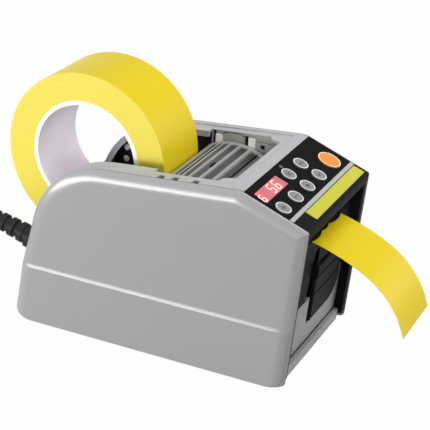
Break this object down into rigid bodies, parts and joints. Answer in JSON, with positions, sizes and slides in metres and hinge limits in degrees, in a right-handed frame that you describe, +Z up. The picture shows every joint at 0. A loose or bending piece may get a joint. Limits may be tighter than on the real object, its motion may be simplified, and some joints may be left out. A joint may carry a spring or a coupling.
{
  "type": "electric tape dispenser",
  "caption": "Bench-top electric tape dispenser: grey case with a roll of yellow tape on top, a keypad with display, a hinged hood and a cut length of tape at the front.",
  "frame": {"origin": "middle of the object's footprint without its lead, on the table", "axes": "+Z up, +Y towards the roll at the rear, the tape leaves towards -Y, +X to the right seen from the front looking along +Y"},
  "size_m": [0.1218, 0.5118, 0.181],
  "materials": {
    "cover_grey": "fine satin moulding",
    "case_grey": "fine satin moulding",
    "black_plastic": "satin",
    "black_metal": "satin black paint",
    "hood_grey": "satin moulding",
    "label_yellow": "gloss film",
    "keypad_black": "fine textured film",
    "button_grey": "satin",
    "button_orange": "satin",
    "display_red": "tinted clear window",
    "white_plastic": "natural",
    "steel": "bright turned steel",
    "blade_steel": "ground steel",
    "rubber": "matt",
    "dark_casting": "grey casting",
    "board_green": "solder mask",
    "tape_yellow": "satin film",
    "core_card": "pale pressed card",
    "cord_black": "satin",
    "brass": "plain"
  },
  "bodies": {
    "housing": {"base_tray": "case_grey", "rubber_feet": "rubber", "side_cover_left": "cover_grey", "side_cover_right": "cover_grey", "top_case": "case_grey", "rear_panel": "case_grey", "frame_plate_left": "black_metal", "frame_plate_right": "black_metal", "cover_screws": "steel", "front_cover": "black_plastic", "label_strip": "label_yellow", "front_panel": "black_plastic", "front_lower_panel": "case_grey", "door_pin": "steel", "keypad_panel": "keypad_black", "keypad_board": "board_green", "display_window": "display_red", "bearing_blocks": "white_plastic", "feed_motor": "steel", "fixed_blade": "blade_steel", "cutter_rods": "steel", "cutter_bridges": "dark_casting", "cutter_motor": "steel", "well_tray": "black_plastic", "control_board": "board_green", "power_board": "board_green", "board_screws": "steel", "tape_web": "tape_yellow", "tape_tongue": "tape_yellow", "cord_boot": "cord_black", "cord_lead": "cord_black", "cord_coil": "cord_black", "coil_tie": "black_plastic", "plug_body": "cord_black", "plug_pins": "brass"},
    "roll": {"tape_core": "core_card", "tape_roll": "tape_yellow"},
    "support_front": {"support_roller_front": "steel"},
    "support_rear": {"support_roller_rear": "steel"},
    "guide_rear": {"guide_roller_rear": "white_plastic"},
    "guide_front": {"guide_roller_front": "white_plastic"},
    "feed": {"feed_shaft": "steel", "feed_sleeve": "rubber", "feed_gear": "white_plastic"},
    "pinch": {"pinch_shaft": "steel", "pinch_sleeve": "rubber"},
    "pinion": {"motor_pinion": "steel"},
    "cam": {"cutter_cam": "steel"},
    "blade": {"moving_blade": "blade_steel", "blade_carrier": "dark_casting"},
    "hood": {"hood": "hood_grey"},
    "door": {"cutter_door": "black_plastic"},
    "start_key": {"start_button": "button_orange"},
    "up_key": {"up_button": "button_grey"},
    "function_key": {"function_button": "button_grey"},
    "down_key": {"down_button": "button_grey"},
    "set_key": {"set_button": "button_grey"},
    "minus_key": {"minus_button": "button_grey"},
    "plus_key": {"plus_button": "button_grey"}
  },
  "joints": [
    {"name": "roll_spin", "type": "hinge", "parent": "housing", "child": "roll", "pos_m": [0, 0.0875, 0.12], "axis": [1, 0, 0], "continuous": true},
    {"name": "support_front_spin", "type": "hinge", "parent": "housing", "child": "support_front", "pos_m": [0, 0.04483, 0.06539], "axis": [1, 0, 0], "continuous": true},
    {"name": "support_rear_spin", "type": "hinge", "parent": "housing", "child": "support_rear", "pos_m": [0, 0.1025, 0.05234], "axis": [1, 0, 0], "continuous": true},
    {"name": "guide_rear_spin", "type": "hinge", "parent": "housing", "child": "guide_rear", "pos_m": [0, 0.0185, 0.1065], "axis": [1, 0, 0], "continuous": true},
    {"name": "guide_front_spin", "type": "hinge", "parent": "housing", "child": "guide_front", "pos_m": [0, -0.0068, 0.1042], "axis": [1, 0, 0], "continuous": true},
    {"name": "feed_spin", "type": "hinge", "parent": "housing", "child": "feed", "pos_m": [0, -0.0466, 0.0954], "axis": [1, 0, 0], "continuous": true},
    {"name": "pinch_spin", "type": "hinge", "parent": "housing", "child": "pinch", "pos_m": [0, -0.05004, 0.11158], "axis": [1, 0, 0], "continuous": true},
    {"name": "pinion_spin", "type": "hinge", "parent": "housing", "child": "pinion", "pos_m": [0, -0.03349, 0.07278], "axis": [1, 0, 0], "continuous": true},
    {"name": "cam_turn", "type": "hinge", "parent": "housing", "child": "cam", "pos_m": [-0.027, -0.045, 0.052], "axis": [1, 0, 0], "range_deg": [0, 150]},
    {"name": "blade_slide", "type": "slide", "parent": "housing", "child": "blade", "axis": [0, 0, 1], "range_m": [0, 0.007]},
    {"name": "hood_swing", "type": "hinge", "parent": "housing", "child": "hood", "pos_m": [0, -0.0205, 0.1145], "axis": [1, 0, 0], "range_deg": [0, 60]},
    {"name": "door_swing", "type": "hinge", "parent": "housing", "child": "door", "pos_m": [-0.0056, -0.07676, 0.04835], "axis": [0, 0.0862, -0.9963], "range_deg": [0, 95]},
    {"name": "start_press", "type": "slide", "parent": "housing", "child": "start_key", "axis": [0, 0.3596, -0.9331], "range_m": [0, 0.0005], "stiffness_N_per_m": 2000},
    {"name": "up_press", "type": "slide", "parent": "housing", "child": "up_key", "axis": [0, 0.3596, -0.9331], "range_m": [0, 0.0005], "stiffness_N_per_m": 2000},
    {"name": "function_press", "type": "slide", "parent": "housing", "child": "function_key", "axis": [0, 0.3596, -0.9331], "range_m": [0, 0.0005], "stiffness_N_per_m": 2000},
    {"name": "down_press", "type": "slide", "parent": "housing", "child": "down_key", "axis": [0, 0.3596, -0.9331], "range_m": [0, 0.0005], "stiffness_N_per_m": 2000},
    {"name": "set_press", "type": "slide", "parent": "housing", "child": "set_key", "axis": [0, 0.3596, -0.9331], "range_m": [0, 0.0005], "stiffness_N_per_m": 2000},
    {"name": "minus_press", "type": "slide", "parent": "housing", "child": "minus_key", "axis": [0, 0.3596, -0.9331], "range_m": [0, 0.0005], "stiffness_N_per_m": 2000},
    {"name": "plus_press", "type": "slide", "parent": "housing", "child": "plus_key", "axis": [0, 0.3596, -0.9331], "range_m": [0, 0.0005], "stiffness_N_per_m": 2000}
  ],
  "couplings": [
    {"joint": "support_front_spin", "follows": "roll_spin", "ratio": -7.625},
    {"joint": "support_rear_spin", "follows": "roll_spin", "ratio": -7.625},
    {"joint": "guide_rear_spin", "follows": "roll_spin", "ratio": -10.167},
    {"joint": "guide_front_spin", "follows": "roll_spin", "ratio": -10.167},
    {"joint": "feed_spin", "follows": "roll_spin", "ratio": -6.7778},
    {"joint": "pinch_spin", "follows": "roll_spin", "ratio": 8.7143},
    {"joint": "pinion_spin", "follows": "roll_spin", "ratio": 22.593},
    {"joint": "cam_turn", "follows": "blade_slide", "rad_per_m": 374}
  ]
}
